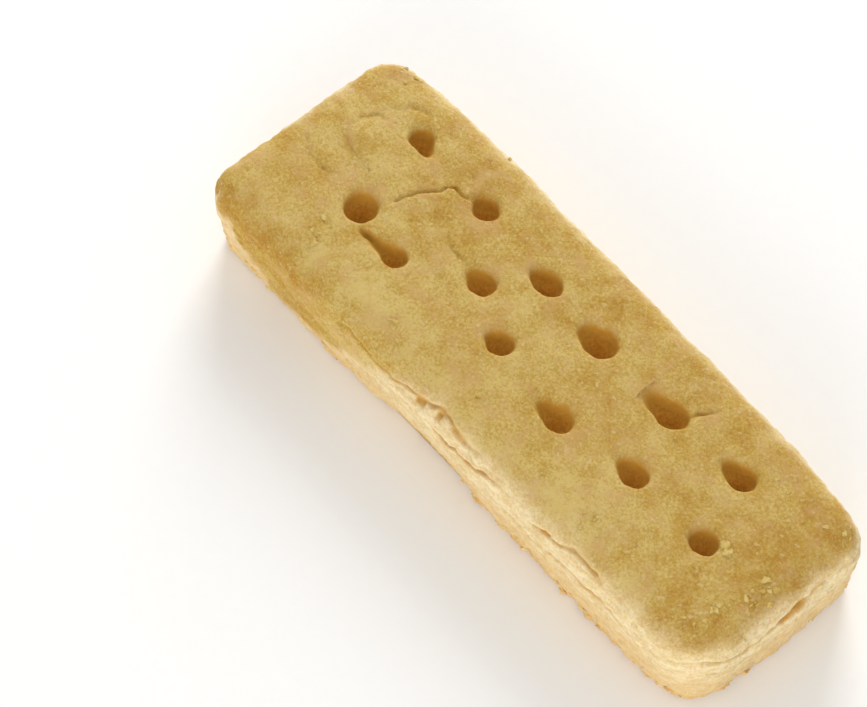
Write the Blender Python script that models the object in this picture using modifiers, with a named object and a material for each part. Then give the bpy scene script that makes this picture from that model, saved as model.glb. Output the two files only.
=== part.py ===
"""Shortbread finger: one baked bar of dough with thirteen docking holes pricked into its top.

Metres, +Z up. The origin is at the middle of the flat base, +X runs along the length to the
narrower end, and +Y runs across. The bar is a box lattice that is shaped in one pass: rounded in
plan, softly rounded along the top edge, tightly along the base, bellied along its long sides,
crowned on top, and drawn in along a wandering seam high on its sides. The docking holes are
turned funnels that are cut out of it.
"""
import bmesh
import bpy
from math import cos, exp, hypot, pi, radians, sin, tan
from mathutils import Vector, noise

MM = 0.001

# Driving sizes of the bar
LENGTH = 75.2 * MM
WIDTH = 26.0 * MM
THICKNESS = 12.5 * MM
NARROWING = 0.03            # each end's width differs from the middle's by this share
BELLY = {-1: 0.1 * MM, 1: 1.5 * MM}     # how far each long side swells out at half length
BELLY_POWER = 4             # the higher, the nearer to the ends the swelling reaches
BASE_INSET = 0.8 * MM       # how much the base stands in from the seam
END_HOLLOW = 0.15 * MM      # how far each end face is drawn in at its middle
END_POWER = 7               # the higher, the nearer to the ends the drawing in stays; odd, for its sign
CROWN = 0.35 * MM           # rise of the top from its shoulders to its middle

# Roundings: one plan radius for each corner, keyed by the sides it joins (X, Y)
CORNER_RADIUS = {(-1, -1): 3.3 * MM, (-1, 1): 3.8 * MM, (1, 1): 3.2 * MM, (1, -1): 6.0 * MM}
LEAST_RADIUS = 1.6 * MM
TOP_EDGE = 3.2 * MM
BASE_EDGE = 0.8 * MM

# The seam where the dough's layers part, and the baked unevenness
SEAM_HEIGHT = 7.9 * MM
SEAM_WANDER = 1.0 * MM      # height that full noise lifts the seam by
BELOW_PULL = 0.3            # share of the seam's wander that the row half way down follows
SEAM_DEPTH = 0.45 * MM
SEAM_LIP = 0.45 * MM
SEAM_SHARE = 0.3            # inset of the seam's lips as a share of its depth
UNEVEN = 0.22 * MM
UNEVEN_SPAN = 9.0 * MM      # width of one swelling or hollow
SEAM_SPAN = 14.0 * MM       # length of one rise or fall of the seam

# Lattice cells
CELLS_ALONG = 22
CELLS_ACROSS = 6
CORNER_CELLS = 3
BASE_EDGE_CELLS = 2
TOP_EDGE_CELLS = 5
BASE_MARGIN = 0.01 * MM     # faces whose middle lies lower than this are the flat base

# Docking holes
HOLE_RADIUS = 1.45 * MM
HOLE_DEPTH = 4.8 * MM
TIP_SHARE = 0.62            # radius of the shaft's lower end over its upper end
FLARE = 0.45 * MM           # how much wider the mouth is than the shaft
FLARE_DEPTH = 0.6 * MM      # depth over which the flare dies away
CUTTER_RISE = 1.2 * MM      # how far a cutter stands out of the top
CUTTER_SIDES = 16
MERGE_DISTANCE = 0.01 * MM
MOUTH_CELLS = 2
SHAFT_CELLS = 5
TIP_CELLS = 3

# Each hole's place along and across in mm, its stretch along its own long axis, the turn of that
# axis from +X and its lean back along it, in degrees. They are pricked by hand in two rows.
HOLES = (
    (-26.1, 6.4, 1.16, -20, 4),
    (-15.3, 6.1, 1.10, -8, 4),
    (-4.8, 5.2, 1.20, 6, 6),
    (3.9, 4.7, 1.34, 3, 8),
    (14.4, 4.8, 1.40, 8, 10),
    (24.3, 5.4, 1.22, 8, 8),
    (-23.8, -3.5, 1.22, -40, 4),
    (-17.2, -4.6, 1.06, 10, 8),
    (-8.9, 0.1, 1.06, 0, 2),
    (-2.4, -3.0, 1.08, 14, 5),
    (7.6, -4.2, 1.26, 6, 8),
    (17.2, -2.5, 1.18, 4, 8),
    (27.4, -2.3, 1.08, 0, 2),
)

# Baked butter dough
DOUGH_COLOUR = (0.56, 0.40, 0.135, 1.0)
DOUGH_ROUGHNESS = 0.85
SHARP_ANGLE = radians(50)


def clear_scene():
    """Remove every object, mesh and collection that the scene starts with."""
    for old in list(bpy.data.objects):
        bpy.data.objects.remove(old, do_unlink=True)
    for mesh in list(bpy.data.meshes):
        bpy.data.meshes.remove(mesh)
    for group in list(bpy.data.collections):
        bpy.data.collections.remove(group)


def new_collection(name):
    """Add a collection to the scene."""
    group = bpy.data.collections.new(name)
    bpy.context.scene.collection.children.link(group)
    return group


def dough_material():
    """Pale golden baked dough, matt."""
    material = bpy.data.materials.new("baked_dough")
    material.use_nodes = True
    shader = material.node_tree.nodes["Principled BSDF"]
    shader.inputs["Base Color"].default_value = DOUGH_COLOUR
    shader.inputs["Roughness"].default_value = DOUGH_ROUGHNESS
    shader.inputs["Metallic"].default_value = 0.0
    return material


def stations(cells):
    """Lattice lines from side to side, as (share of the straight stretch, share of the corner).

    Corner lines are spaced by the tangent, so that they fan out evenly round the corner.
    """
    fan = [tan(pi / 4 * step / CORNER_CELLS) for step in range(1, CORNER_CELLS + 1)]
    straight = [(2 * step / cells - 1, 0.0) for step in range(cells + 1)]
    return [(-1.0, -share) for share in reversed(fan)] + straight + [(1.0, share) for share in fan]


def slope_inset(height):
    """Inset of the sloping side below the seam."""
    return BASE_INSET * (1 - height / SEAM_HEIGHT)


def levels():
    """Rows up the side as (height, inset, pull of the seam): base edge, seam, top edge."""
    rows = []
    for step in range(BASE_EDGE_CELLS + 1):
        angle = pi / 2 * step / BASE_EDGE_CELLS
        height = BASE_EDGE * (1 - cos(angle))
        rows.append((height, BASE_EDGE * (1 - sin(angle)) + slope_inset(height), 0.0))
    below = (BASE_EDGE + SEAM_HEIGHT) / 2
    rows.append((below, slope_inset(below), BELOW_PULL))
    rows.append((SEAM_HEIGHT - SEAM_LIP, SEAM_DEPTH * SEAM_SHARE, 1.0))
    rows.append((SEAM_HEIGHT, SEAM_DEPTH, 1.0))
    rows.append((SEAM_HEIGHT + SEAM_LIP, 0.0, 1.0))
    shoulder = THICKNESS - CROWN - TOP_EDGE
    for step in range(TOP_EDGE_CELLS + 1):
        angle = pi / 2 * step / TOP_EDGE_CELLS
        rows.append((shoulder + TOP_EDGE * sin(angle), TOP_EDGE * (1 - cos(angle)), 0.0))
    return rows


def belly(across):
    """The swelling of the long side that a place across the bar lies on."""
    return BELLY[1 if across > 0 else -1]


def corner_radius(along, across):
    """Blend the four corner radii over the plan, for shares from -1 to 1 each way."""
    total = 0.0
    for (side_x, side_y), radius in CORNER_RADIUS.items():
        total += radius * (1 + side_x * along) * (1 + side_y * across) / 4
    return total


def plan_point(line_x, line_y, inset):
    """Place a lattice point in plan, inside the outline by the inset.

    The straight stretches keep their share of the length and width. In a corner the square rings
    of the lattice become round ones: each point keeps its larger share as its radius.
    """
    radius = max(corner_radius(line_x[0], line_y[0]) - inset, LEAST_RADIUS)
    x = line_x[0] * (LENGTH / 2 - inset - radius)
    y = line_y[0] * (WIDTH / 2 - belly(line_y[0]) - inset - radius)
    spread = hypot(line_x[1], line_y[1])
    if spread > 0:
        ring = max(abs(line_x[1]), abs(line_y[1])) / spread
        x += line_x[1] * radius * ring
        y += line_y[1] * radius * ring
    return x, y


def hand_shape(x, y):
    """Belly the long sides, narrow the bar towards +X and draw its end faces in."""
    along = 2 * x / LENGTH
    across = 2 * y / WIDTH
    y *= 1 - NARROWING * along
    y += belly(across) * across * (1 - along ** BELLY_POWER)
    x -= END_HOLLOW * along ** END_POWER * (1 - across ** 2)
    return x, y


def centre_in_plan(bm):
    """Move the bar so that the middle of its outline stands over the origin."""
    shift = Vector((0.0, 0.0, 0.0))
    for axis in (0, 1):
        places = [vert.co[axis] for vert in bm.verts]
        shift[axis] = -(min(places) + max(places)) / 2
    bmesh.ops.translate(bm, verts=bm.verts, vec=shift)


def body_mesh():
    """Shape a box lattice into the bar."""
    lines_x = stations(CELLS_ALONG)
    lines_y = stations(CELLS_ACROSS)
    rows = levels()
    counts = (len(lines_x) - 1, len(lines_y) - 1, len(rows) - 1)
    bm = bmesh.new()
    bmesh.ops.create_cube(bm, size=1.0)
    bmesh.ops.translate(bm, verts=bm.verts, vec=(0.5, 0.5, 0.5))
    bmesh.ops.scale(bm, verts=bm.verts, vec=counts)
    for axis, count in enumerate(counts):
        normal = Vector([float(axis == k) for k in range(3)])
        for step in range(1, count):
            everything = bm.verts[:] + bm.edges[:] + bm.faces[:]
            bmesh.ops.bisect_plane(bm, geom=everything, plane_co=normal * step, plane_no=normal)
    for vert in bm.verts:
        i, j, k = (round(value) for value in vert.co)
        height, inset, pull = rows[k]
        x, y = hand_shape(*plan_point(lines_x[i], lines_y[j], inset))
        place = Vector((x, y, height))
        wander = noise.noise(Vector((x, y, 0)) / SEAM_SPAN)
        swell = noise.noise(place / UNEVEN_SPAN)
        crown = (1 - (2 * x / LENGTH) ** 2) * (1 - (2 * y / WIDTH) ** 2)
        share = height / THICKNESS
        place.z += pull * SEAM_WANDER * wander + share * (CROWN * crown + UNEVEN * swell)
        place.y += UNEVEN * swell * (2 * y / WIDTH) * sin(pi * share)
        vert.co = place
    centre_in_plan(bm)
    base = [face for face in bm.faces if face.calc_center_median().z < BASE_MARGIN]
    bmesh.ops.dissolve_faces(bm, faces=base)
    bmesh.ops.recalc_face_normals(bm, faces=bm.faces)
    mesh = bpy.data.meshes.new("shortbread_finger")
    bm.to_mesh(mesh)
    bm.free()
    return mesh


def funnel_profile():
    """Half outline of a docking hole, from the axis above the top down to the tip on the axis.

    The shaft narrows evenly. Its radius has a flare added that dies away with depth, and its tip
    is a quarter ellipse.
    """
    points = [(0.0, CUTTER_RISE)]
    low_radius = HOLE_RADIUS * TIP_SHARE
    shaft = HOLE_DEPTH - low_radius
    for step in range(-MOUTH_CELLS, SHAFT_CELLS + 1):
        if step < 0:
            depth = CUTTER_RISE * step / MOUTH_CELLS
        else:
            depth = shaft * (step / SHAFT_CELLS) ** 2
        narrowing = (HOLE_RADIUS - low_radius) * max(depth, 0) / shaft
        points.append((HOLE_RADIUS - narrowing + FLARE * exp(-depth / FLARE_DEPTH), -depth))
    for step in range(1, TIP_CELLS):
        angle = pi / 2 * step / TIP_CELLS
        points.append((low_radius * cos(angle), -shaft - low_radius * sin(angle)))
    points.append((0.0, -HOLE_DEPTH))
    return points


def hole_cutter(index, place, group):
    """One turned funnel, stretched, turned and leaned as its hole is."""
    along, across, stretch, turn, lean = place
    points = funnel_profile()
    mesh = bpy.data.meshes.new("docking_cutter_%02d" % index)
    edges = [(k, k + 1) for k in range(len(points) - 1)]
    mesh.from_pydata([(radius, 0.0, height) for radius, height in points], edges, [])
    cutter = bpy.data.objects.new(mesh.name, mesh)
    cutter.location = (along * MM, across * MM, THICKNESS - CROWN / 2)
    cutter.rotation_euler = (0.0, radians(-lean), radians(turn))
    cutter.scale = (stretch, 1.0, 1.0)
    screw = cutter.modifiers.new("turn", "SCREW")
    screw.axis = "Z"
    screw.steps = CUTTER_SIDES
    screw.render_steps = CUTTER_SIDES
    screw.use_merge_vertices = True
    screw.merge_threshold = MERGE_DISTANCE
    cutter.hide_render = True
    cutter.display_type = "WIRE"
    group.objects.link(cutter)


def shortbread_finger():
    """The bar with its docking holes cut out."""
    parts = new_collection("shortbread_finger")
    cutters = new_collection("docking_cutters")
    mesh = body_mesh()
    mesh.materials.append(dough_material())
    mesh.shade_smooth()
    mesh.set_sharp_from_angle(angle=SHARP_ANGLE)
    finger = bpy.data.objects.new("shortbread_finger", mesh)
    parts.objects.link(finger)
    for index, place in enumerate(HOLES, start=1):
        hole_cutter(index, place, cutters)
    docking = finger.modifiers.new("docking_holes", "BOOLEAN")
    docking.operation = "DIFFERENCE"
    docking.operand_type = "COLLECTION"
    docking.collection = cutters
    docking.solver = "EXACT"


clear_scene()
shortbread_finger()
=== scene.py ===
"""Shortbread finger: the baked surface, its crumbs and flakes, and a plain studio round it.

Metres, +Z up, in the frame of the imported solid: +X runs along the finger, +Y across it. The finger
is one closed surface. Its top, its sides and its base are grids of two parameters that are worked
out as whole arrays, welded along their edges and then roughened along their normals.
"""
from math import cos, pi, radians, sin

import bpy
import numpy as np
from bpy.props import FloatProperty, FloatVectorProperty, IntProperty, PointerProperty
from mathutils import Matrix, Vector


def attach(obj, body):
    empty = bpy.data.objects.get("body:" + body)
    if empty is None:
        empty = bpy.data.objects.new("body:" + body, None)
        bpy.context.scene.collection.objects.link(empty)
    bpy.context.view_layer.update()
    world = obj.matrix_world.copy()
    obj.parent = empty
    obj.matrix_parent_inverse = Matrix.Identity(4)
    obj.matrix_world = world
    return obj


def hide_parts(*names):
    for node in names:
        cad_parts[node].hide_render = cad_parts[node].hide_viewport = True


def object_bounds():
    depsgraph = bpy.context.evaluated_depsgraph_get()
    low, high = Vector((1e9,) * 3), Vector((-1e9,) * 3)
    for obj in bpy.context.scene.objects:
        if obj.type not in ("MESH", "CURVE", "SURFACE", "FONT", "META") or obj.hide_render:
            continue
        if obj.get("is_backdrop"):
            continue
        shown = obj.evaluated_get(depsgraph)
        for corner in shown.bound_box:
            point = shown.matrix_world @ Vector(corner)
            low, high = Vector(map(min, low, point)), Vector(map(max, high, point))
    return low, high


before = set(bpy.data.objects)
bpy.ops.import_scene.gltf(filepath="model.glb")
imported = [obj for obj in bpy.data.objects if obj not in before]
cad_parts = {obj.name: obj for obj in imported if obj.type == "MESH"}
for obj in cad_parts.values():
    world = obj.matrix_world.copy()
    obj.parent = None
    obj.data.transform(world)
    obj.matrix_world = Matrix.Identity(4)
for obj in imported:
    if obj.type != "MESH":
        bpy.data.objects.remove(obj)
CAD_LOW, CAD_HIGH = (Vector(corner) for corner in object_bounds())

bl_info = {
    "name": "Shortbread Finger",
    "version": (1, 0, 0),
    "blender": (4, 5, 0),
    "location": "3D View > Sidebar > Shortbread",
    "description": "Builds a baked shortbread finger with crumbs and a studio round it",
    "category": "Add Mesh",
}

MM = 0.001
LENGTH, WIDTH, THICKNESS = CAD_HIGH - CAD_LOW
NODE = "shortbread_finger"
BODY = "root"

# The bar's outline
NARROWING = 0.03                       # share by which the bar narrows towards +X
BELLY_BACK = 1.5 * MM                  # swelling of the long side at +Y
BELLY_FRONT = 0.1 * MM                 # swelling of the long side at -Y
BELLY_POWER = 4
CORNER_RADIUS = {(-1, -1): 3.3 * MM, (-1, 1): 3.8 * MM, (1, 1): 3.2 * MM, (1, -1): 6.0 * MM}
LEAST_RADIUS = 1.6 * MM
CROWN = 0.35 * MM
TOP_EDGE = 3.2 * MM
BASE_EDGE = 0.8 * MM
BASE_INSET = 0.8 * MM
SLOPE_TOP = 7.9 * MM                   # height where the side stops sloping out

# Grid cells: along and across the straight stretches, round half a corner, and up the side
CELLS_ALONG = 316
CELLS_ACROSS = 80
CORNER_CELLS = 12
BASE_EDGE_CELLS = 5
LOWER_CELLS = 19
LIP_CELLS = 32
SHOULDER_CELLS = 6
LOWER_TOP = 7.0 * MM                   # below this height the rows are wide apart
LIP_ARC = 52                           # degrees up the top edge's round to which rows are close
UNDERSIDE_STEP = 0.5 * MM              # from the base edge in to the first line of the base
BASE_COARSE = 4                        # cells of the side for each cell of the base

# Docking holes: place along and across, mouth radius, stretch along the hole's own axis, turn of
# that axis and pull of its tail, all in mm and degrees
HOLES = (
    (-26.1, 6.5, 1.30, 1.05, 162, 0.85),
    (-15.3, 6.1, 1.42, 1.08, -10, 0.20),
    (-4.7, 5.2, 1.44, 1.20, 6, 0.30),
    (4.0, 4.7, 1.60, 1.22, 2, 0.45),
    (14.7, 4.8, 1.58, 1.18, 6, 1.10),
    (24.5, 5.4, 1.52, 1.10, 4, 0.65),
    (-23.8, -3.5, 1.76, 1.05, -40, 0.10),
    (-17.1, -4.6, 1.25, 1.06, 4, 0.50),
    (-8.9, 0.1, 1.46, 1.06, 0, 0.35),
    (-2.4, -3.0, 1.42, 1.08, 14, 0.30),
    (7.8, -4.2, 1.48, 1.12, 4, 0.85),
    (17.4, -2.5, 1.38, 1.12, 0, 0.65),
    (27.4, -2.3, 1.50, 1.06, 0, 0.10),
)
HOLE_REACH = 4.2 * MM                  # radius of the patch of top that is drawn into a hole
HOLE_DEPTH = 2.38                      # depth over the mouth's longer radius
HOLE_TAPER = 0.62                      # radius of the tip over that of the mouth
RIM_ROUND = 0.60 * MM                  # the rim's mean round
RIM_UNEVEN = 0.36 * MM                 # how much rounder it is where the prick slants in
SLANT_FROM = 115                       # direction the prick comes in from, in degrees
SLANT = 0.16                           # shift of the tip over depth
TAIL_POWER = 7
TAIL_FADE = 2.4 * MM                   # depth over which a tail closes
SHARES = (0.11, 0.34, 0.56)            # shares of the reach where tip, wall and rim end

# Creases: points along each, half width, depth and how far one side stands up, in mm
CREASES = (
    (((-21.9, -0.4), (-21.2, 1.9), (-19.7, 3.8), (-19.8, 4.6), (-19.0, 5.3), (-17.9, 5.2), (-16.9, 5.8)),
     0.22, 0.46, -0.46),
    (((-32.4, 2.4), (-31.6, 1.0), (-29.8, 0.3), (-28.4, 0.3), (-26.2, -0.2)), 0.80, 0.26, 0.30),
    (((-31.9, 1.8), (-32.1, 3.4), (-31.4, 4.8), (-29.9, 5.4)), 0.90, 0.24, 0.26),
    (((-34.2, -2.2), (-32.1, -3.3), (-30.0, -3.5), (-28.6, -3.0)), 0.60, 0.24, 0.14),
    (((-30.8, 6.6), (-29.6, 8.4), (-27.6, 9.4)), 0.50, 0.20, 0.12),
    (((-27.0, -7.0), (-24.0, -7.6), (-20.5, -8.3)), 0.60, 0.14, 0.10),
    (((-21.7, -5.1), (-20.2, -4.9), (-18.0, -4.7)), 0.38, 1.30, 0.0),
    (((-20.3, -4.9), (-19.0, -4.8), (-17.8, -4.7)), 0.62, 1.50, 0.0),
    (((16.0, 5.8), (16.4, 7.0), (17.6, 8.4)), 0.30, 0.50, 0.0),
    (((-15.4, 1.0), (-13.8, 0.4), (-11.0, 0.3)), 0.28, 0.28, 0.12),
)
# Pits: place and depth in mm
PITS = (
    (-33.9, -2.4, 0.27), (-32.1, -3.3, 0.27), (-30.0, -3.4, 0.36), (-26.7, 0.1, 0.30), (-31.4, 5.0, 0.30),
    (-29.3, 5.6, 0.18), (-33.0, 1.6, 0.15), (-12.0, -2.6, 0.15), (1.6, 0.9, 0.12), (20.4, 1.8, 0.15),
    (23.4, -7.6, 0.18), (11.6, -8.2, 0.15), (31.8, 5.2, 0.15), (-5.2, 9.3, 0.12), (-23.0, 9.2, 0.18),
)
# Swellings of the top: place, half width along and across, and height, in mm
SWELLINGS = (
    (-29.0, 2.8, 3.2, 2.6, 0.34), (-23.4, 2.4, 3.0, 3.4, 0.22), (-18.2, 1.4, 3.0, 2.6, 0.16),
    (-27.6, -6.4, 3.6, 2.4, 0.20), (-32.8, -6.2, 2.4, 3.0, 0.16), (-11.6, 4.4, 3.4, 3.0, 0.12),
    (20.6, 1.4, 4.2, 2.6, 0.16), (1.0, -5.6, 4.0, 2.6, 0.12), (31.6, 3.0, 3.0, 3.6, 0.16),
)
FOOT_HOLLOW = (33.5 * MM, 6.5 * MM, 0.9 * MM)    # distance round the bar, half width and depth

# Cracks round the side: distance round the bar from the corner at -X and -Y and height of each
# point, half width, depth, and how far the dough above the crack (or, below zero, the dough below
# it) stands out, in mm
CRACKS = (
    (((19.5, 9.9), (22.4, 10.5), (26.3, 10.0), (30.1, 10.0), (33.7, 10.9), (36.2, 11.5), (38.4, 11.2),
      (40.6, 11.0), (43.5, 11.3)), 0.17, 0.42, 0.08),
    (((32.6, 10.1), (34.3, 10.7)), 0.46, 0.66, 0.0),
    (((35.7, 10.9), (36.7, 11.1)), 0.38, 0.56, 0.0),
    (((37.6, 11.1), (39.4, 10.9), (40.8, 10.8)), 0.34, 0.40, 0.0),
    (((33.9, 9.4), (36.2, 8.6), (37.8, 8.3), (39.3, 9.2), (40.7, 8.8), (42.2, 9.3), (44.3, 10.0),
      (48.5, 10.3)), 0.18, 0.58, -0.20),
    (((48.8, 9.0), (52.2, 10.1), (54.7, 10.4), (56.0, 11.1), (59.4, 11.0), (61.8, 10.3)), 0.17, 0.42, 0.05),
    (((51.6, 9.9), (53.6, 10.5)), 0.28, 0.60, 0.0),
    (((44.2, 7.0), (50.2, 6.5), (56.4, 7.9), (61.8, 8.2), (66.1, 6.5), (69.4, 6.9)), 0.18, 0.42, -0.16),
    (((1.5, 8.6), (5.4, 5.2), (7.8, 2.9), (11.0, 2.3)), 0.18, 0.38, -0.12),
    (((0.8, 9.8), (6.0, 7.2), (13.0, 5.4), (21.0, 4.6)), 0.18, 0.34, -0.10),
    (((4.0, 10.4), (10.0, 8.9), (16.5, 7.8)), 0.17, 0.30, 0.05),
    (((70.5, 9.3), (74.2, 10.0), (76.4, 9.3), (79.0, 8.5), (81.0, 8.6), (83.4, 8.7), (85.0, 9.0),
      (87.2, 9.4), (89.1, 9.6), (92.6, 9.8)), 0.17, 0.40, -0.13),
    (((82.8, 8.6), (84.8, 9.0), (87.4, 9.4)), 0.38, 0.90, -0.40),
    (((74.0, 7.6), (77.0, 6.3), (80.2, 5.9)), 0.18, 0.30, -0.10),
    (((102.0, 9.6), (110.0, 10.2), (117.0, 9.4), (126.0, 9.9)), 0.18, 0.55, 0.10),
    (((112.0, 7.4), (121.0, 6.6), (128.0, 7.7)), 0.18, 0.38, -0.10),
    (((131.0, 10.3), (139.0, 9.4), (146.0, 8.7), (152.0, 9.9), (160.0, 10.0)), 0.18, 0.58, -0.14),
    (((145.0, 8.6), (148.5, 8.9)), 0.32, 0.90, -0.16),
    (((174.0, 8.8), (179.0, 9.6), (184.0, 8.7), (189.5, 9.2)), 0.18, 0.60, -0.16),
)
# Where the browned crust gives way to pale dough: distance round the bar and height, in mm
CRUST_LINE = (
    (0, 3.0), (9, 1.6), (18, 3.0), (26, 9.4), (31, 11.7), (38, 12.1), (68, 11.9), (80, 11.6), (93, 11.4),
    (105, 11.8), (125, 11.5), (145, 11.9), (165, 11.6), (182, 11.9), (194, 11.5),
)
CRUST_STRAY = 2.6 * MM                 # how far that line strays round the bar
CRUST_RAGGED = 0.7 * MM                # how far it strays up and down
SHOULDER_RAGGED = 1.6 * MM             # how far the edge of the paler shoulders strays

# Layers of noise over the whole bar: size of a feature and height in mm, octaves and seed
GRAIN = ((10.0, 0.20, 1, 2), (4.0, 0.13, 1, 3), (1.7, 0.065, 1, 6), (0.85, 0.050, 2, 4))

# The broken side: sizes of a layer and a pore in mm, and heights
LAYER_SIZE = (4.0, 4.0, 0.9)
LAYER_HEIGHT = 0.11 * MM
PORE_SIZE = (1.2, 1.2, 0.7)
PORE_DEPTH = 0.20 * MM
GRIT_HEIGHT = 0.12 * MM
TOASTED = (34, 48, 66, 76)             # where round the bar, in mm, the toasted foot comes and goes
FOOT_RAGGED = 0.40 * MM

# Cracks: the layers of noise they wander by (size of a bend and width in mm, and seed), the painted
# shade in them and their ledges
CRACK_WANDER = ((1.6, 0.20, 23), (0.5, 0.06, 24))
SHADE_WIDTH = 1.3                      # width of the painted shade in a crack over that of its groove
FULL_SHADE = 0.6                       # depth in mm from which the painted shade in a crack is full
LEDGE_RISE = 0.2 * MM                  # from the crack out to the full height of its ledge
LEDGE_FALL = 0.8 * MM                  # how fast the ledge falls back

# Creases and pits
CREASE_WANDER = 0.14 * MM
BROW_RISE = 0.3 * MM                   # from a crease out to the full height of its raised side
BROW_FALL = 2.2 * MM                   # how fast the raised side falls back
PIT_RADIUS = 0.34 * MM

# Sizes of the patterns in the finishes
MOTTLE = 2.4 * MM
SAND = 0.32 * MM
BLUSH = 3.2 * MM
FLECK = 0.6 * MM
STREAK = 0.7 * MM
GRIT = 0.55 * MM
CRUMB_CELL = 0.7 * MM
PAPER_TOOTH = 1.5 * MM

# Soft lights: name, place and width in metres, and power in watts
LIGHTS = (
    ("key", (-0.40, 0.45, 0.38), 0.30, 2.5),
    ("back", (-0.36, 0.44, 0.10), 0.24, 0.9),
    ("front", (0.36, -0.52, 0.16), 0.45, 2.6),
)
FLOOR_REACH = 3.0                      # half width of the floor in metres
FLOOR_CELLS = 24
FLOOR_GAP = 0.05 * MM                  # between the finger's base and the floor

# Heaps of crumbs: radius, chance of a stray crumb over that of one in a heap, and places in mm
HEAP_RADIUS = 0.9 * MM
STRAY_CHANCE = 0.004
CRUMB_PLACES = (
    (35.2, -0.7), (35.1, -2.5), (34.9, -8.9), (34.6, -4.7), (18.8, -9.6), (-23.8, -9.8),
    (36.2, 9.2), (-33.7, 10.6), (28.9, -1.3), (28.7, -10.3), (32.2, -10.0), (33.4, -6.6),
)
SEED = 11


def linear(code):
    """A colour's linear values from its sRGB hex code."""
    values = np.array([int(code[k:k + 2], 16) for k in (1, 3, 5)]) / 255
    return tuple(np.where(values <= 0.04045, values / 12.92, ((values + 0.055) / 1.055) ** 2.4))


def smooth(low, high, value):
    """Smooth step from 0 at low to 1 at high."""
    share = np.clip((value - low) / (high - low), 0, 1)
    return share * share * (3 - 2 * share)


def mixed_bits(cells, seed):
    """A pseudo-random whole number for each lattice cell, by multiplying and folding its bits."""
    primes = np.array([73856093, 19349663, 83492791], dtype=np.uint32)
    with np.errstate(over="ignore"):
        bits = np.bitwise_xor.reduce(cells.astype(np.int64).astype(np.uint32) * primes, axis=-1)
        bits ^= np.uint32(seed * 40503 + 977)
        for shift, prime in ((15, 2246822519), (13, 3266489917), (16, 668265263)):
            bits = (bits ^ (bits >> np.uint32(shift))) * np.uint32(prime)
    return bits


def noise(points, size, seed):
    """Gradient noise from about -1 to 1: random slopes at the corners of cells of the given size
    (one number, or one for each axis), faded into each other inside the cells."""
    scaled = points / size
    cell = np.floor(scaled)
    inside = scaled - cell
    fade = inside ** 3 * (inside * (inside * 6 - 15) + 10)
    total = np.zeros(points.shape[:-1])
    for corner in np.ndindex(2, 2, 2):
        step = np.array(corner)
        bits = mixed_bits(cell + step, seed)
        slopes = np.stack([(bits >> np.uint32(k)) & np.uint32(1023) for k in (0, 10, 20)], axis=-1)
        slope = np.sum((slopes / 511.5 - 1) * (inside - step), axis=-1)
        total += slope * np.prod(np.where(step, fade, 1 - fade), axis=-1)
    return total * 1.6


def fractal(points, size, octaves, seed):
    """Noise summed over octaves, each half as large and half as strong as the one before."""
    size = np.asarray(size, dtype=float)
    return sum(noise(points, size / 2 ** k, seed + k) / 2 ** k for k in range(octaves))


def lattice_lines(cells):
    """Grid lines from side to side: their shares of the straight stretch and of the corners.

    The corner lines are spaced by the tangent, so that they fan out evenly round the corner.
    """
    fan = np.tan(np.arange(1, CORNER_CELLS + 1) * pi / 4 / CORNER_CELLS)
    ends = np.ones(CORNER_CELLS)
    straight = np.concatenate([-ends, np.linspace(-1, 1, cells + 1), ends])
    corner = np.concatenate([-fan[::-1], np.zeros(cells + 1), fan])
    return straight, corner


def plan_place(along, across, inset):
    """Plan places of grid lines, inside the outline by the inset.

    A straight stretch keeps its share of the length or width, and in a corner the square rings
    of the grid become round ones. Then the long sides belly out by one minus the fourth power of
    the share along, and the bar narrows evenly towards +X.
    """
    (straight_x, corner_x), (straight_y, corner_y) = along, across
    radius = sum(size * (1 + side_x * straight_x) * (1 + side_y * straight_y) / 4
                 for (side_x, side_y), size in CORNER_RADIUS.items())
    radius = np.maximum(radius - inset, LEAST_RADIUS)
    belly = np.where(straight_y > 0, BELLY_BACK, BELLY_FRONT)
    spread = np.hypot(corner_x, corner_y)
    ring = np.maximum(abs(corner_x), abs(corner_y)) / np.maximum(spread, 1e-9)
    x = straight_x * (LENGTH / 2 - inset - radius) + corner_x * radius * ring
    y = straight_y * (WIDTH / 2 - belly - inset - radius) + corner_y * radius * ring
    share = 2 * x / LENGTH
    y = y * (1 - NARROWING * share) + belly * (2 * y / WIDTH) * (1 - share ** BELLY_POWER)
    return x, y


def side_profile():
    """Heights and insets up the side: a quarter round at the base, a slope that leans out, and a
    quarter round to the top whose rows lie closest where the lip runs."""
    turn = np.linspace(0, pi / 2, BASE_EDGE_CELLS + 1)
    shoulder = THICKNESS - CROWN - TOP_EDGE
    lower = np.linspace(BASE_EDGE, LOWER_TOP, LOWER_CELLS + 1)[1:]
    arc = radians(LIP_ARC) * TOP_EDGE
    girth = np.linspace(0, shoulder - LOWER_TOP + arc, LIP_CELLS + 1)[1:]
    angle = np.maximum(girth - (shoulder - LOWER_TOP), 0) / TOP_EDGE
    middle = np.where(angle > 0, shoulder + TOP_EDGE * np.sin(angle), LOWER_TOP + girth)
    last = np.linspace(radians(LIP_ARC), pi / 2, SHOULDER_CELLS + 1)[1:]
    height = np.concatenate([BASE_EDGE * (1 - np.cos(turn)), lower, middle,
                             shoulder + TOP_EDGE * np.sin(last)])
    inset = np.concatenate([BASE_EDGE * (1 - np.sin(turn)), 0 * lower, TOP_EDGE * (1 - np.cos(angle)),
                            TOP_EDGE * (1 - np.cos(last))])
    return height, inset + BASE_INSET * np.clip(1 - height / SLOPE_TOP, 0, 1)


def border(grid):
    """A grid's border as one row, anticlockwise seen from above, from its first corner."""
    return np.concatenate([grid[:-1, 0], grid[-1, :-1], grid[:0:-1, -1], grid[0, :0:-1]])


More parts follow.
